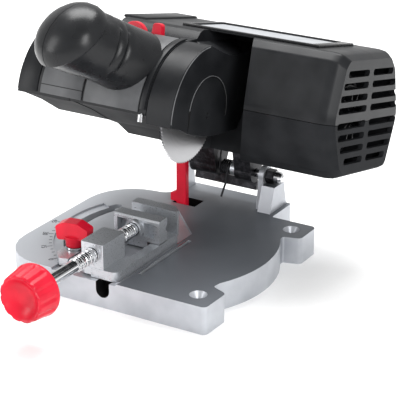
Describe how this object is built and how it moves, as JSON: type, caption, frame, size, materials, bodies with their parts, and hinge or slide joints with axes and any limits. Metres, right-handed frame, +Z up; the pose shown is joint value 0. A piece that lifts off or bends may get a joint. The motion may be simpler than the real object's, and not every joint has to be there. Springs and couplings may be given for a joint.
{
  "type": "radial arm saw",
  "caption": "Miniature bench cut-off saw: tilting belt-driven motor head with guard and grip over a cast table with a swivelling screw vise.",
  "frame": {"origin": "middle of the base's underside, on the plane the base stands on", "axes": "+Z up, +X along the motor shaft towards the vented motor end, +Y from the vise's handwheel towards the rear hinge"},
  "size_m": [0.15, 0.1933, 0.1394],
  "materials": {
    "chrome_steel": "bright ground steel",
    "brass": "brass",
    "dark_steel": "blackened or dark painted steel",
    "copper": "copper",
    "cast_aluminium": "sand-cast aluminium, silver-grey, machined bright on the top edges",
    "black_plastic": "satin black moulded plastic",
    "carbon": "dark ferrite, carbon and moulded insulation",
    "red_plastic": "red moulded plastic",
    "belt_rubber": "moulded belt rubber",
    "gloss_black_plastic": "smooth black moulded plastic",
    "bright_aluminium": "machined and tumbled aluminium",
    "label_film": "light printed label",
    "blade_steel": "brushed high-speed steel"
  },
  "bodies": {
    "base": {"base_casting": "cast_aluminium", "hinge_pin": "chrome_steel", "hinge_nut": "dark_steel", "travel_stop": "red_plastic", "vise_pivot_bolt": "dark_steel", "torsion_spring": "dark_steel", "hinge_sleeve": "bright_aluminium"},
    "head": {"casing_upper": "black_plastic", "casing_lower": "black_plastic", "blade_guard": "black_plastic", "label_plate": "label_film", "grip_left": "gloss_black_plastic", "grip_right": "gloss_black_plastic", "head_yoke": "dark_steel", "switch_body": "carbon", "arbor_bearing_left": "chrome_steel", "arbor_bearing_right": "chrome_steel", "motor_bearing_left": "chrome_steel", "motor_bearing_right": "chrome_steel", "motor_can": "dark_steel", "magnet_upper": "carbon", "magnet_lower": "carbon", "brush_front": "carbon", "brush_rear": "carbon", "drive_belt": "belt_rubber", "casing_screw_right": "dark_steel", "casing_screw_rear": "dark_steel", "casing_screw_middle": "dark_steel"},
    "blade": {"saw_blade": "blade_steel", "arbor_shaft": "chrome_steel", "inner_flange": "chrome_steel", "outer_flange": "chrome_steel", "blade_nut": "dark_steel", "arbor_pulley": "brass"},
    "motor": {"motor_shaft": "chrome_steel", "armature_core": "dark_steel", "armature_winding_left": "copper", "armature_winding_right": "copper", "commutator": "copper", "cooling_fan": "black_plastic", "motor_pulley": "black_plastic"},
    "vise": {"vise_bed": "bright_aluminium", "clamp_stud": "dark_steel", "clamp_washer": "chrome_steel"},
    "lock": {"clamp_knob": "red_plastic"},
    "jaw": {"sliding_jaw": "bright_aluminium"},
    "screw": {"vise_screw": "chrome_steel", "vise_handwheel": "red_plastic"},
    "slider": {"switch_slider": "red_plastic"},
    "trigger": {"switch_trigger": "red_plastic"}
  },
  "joints": [
    {"name": "head_pivot", "type": "hinge", "parent": "base", "child": "head", "pos_m": [0, 0.056, 0.031], "axis": [1, 0, 0], "range_deg": [0, 30], "stiffness_Nm_per_rad": 0.25, "springref_deg": -74.48, "deforming": ["torsion_spring"]},
    {"name": "motor_spin", "type": "hinge", "parent": "head", "child": "motor", "pos_m": [0, 0.03914, 0.078], "axis": [1, 0, 0], "continuous": true},
    {"name": "blade_spin", "type": "hinge", "parent": "head", "child": "blade", "pos_m": [0, -0.00442, 0.08179], "axis": [1, 0, 0], "continuous": true},
    {"name": "vise_swivel", "type": "hinge", "parent": "base", "child": "vise", "pos_m": [0.002, -0.006, 0.0133], "axis": [0, 0, -1], "range_deg": [0, 45]},
    {"name": "clamp_turn", "type": "hinge", "parent": "vise", "child": "lock", "pos_m": [-0.02477, -0.04644, 0.0195], "axis": [0, 0, 1], "range_deg": [0, 180]},
    {"name": "jaw_slide", "type": "slide", "parent": "vise", "child": "jaw", "axis": [0, 1, 0], "range_m": [-0.015, 0.008]},
    {"name": "screw_turn", "type": "hinge", "parent": "jaw", "child": "screw", "pos_m": [-0.0047, -0.0234, 0.0245], "axis": [0, 1, 0], "range_deg": [-3600, 1920]},
    {"name": "switch_slide", "type": "slide", "parent": "head", "child": "slider", "axis": [1, 0, 0], "range_m": [0, 0.01]},
    {"name": "trigger_push", "type": "slide", "parent": "head", "child": "trigger", "axis": [0, -0.225, -0.9744], "range_m": [0, 0.0025], "stiffness_N_per_m": 300, "springref_m": -0.0015}
  ],
  "couplings": [
    {"joint": "blade_spin", "follows": "motor_spin", "ratio": 2},
    {"joint": "screw_turn", "follows": "jaw_slide", "rad_per_m": 4188.8}
  ]
}
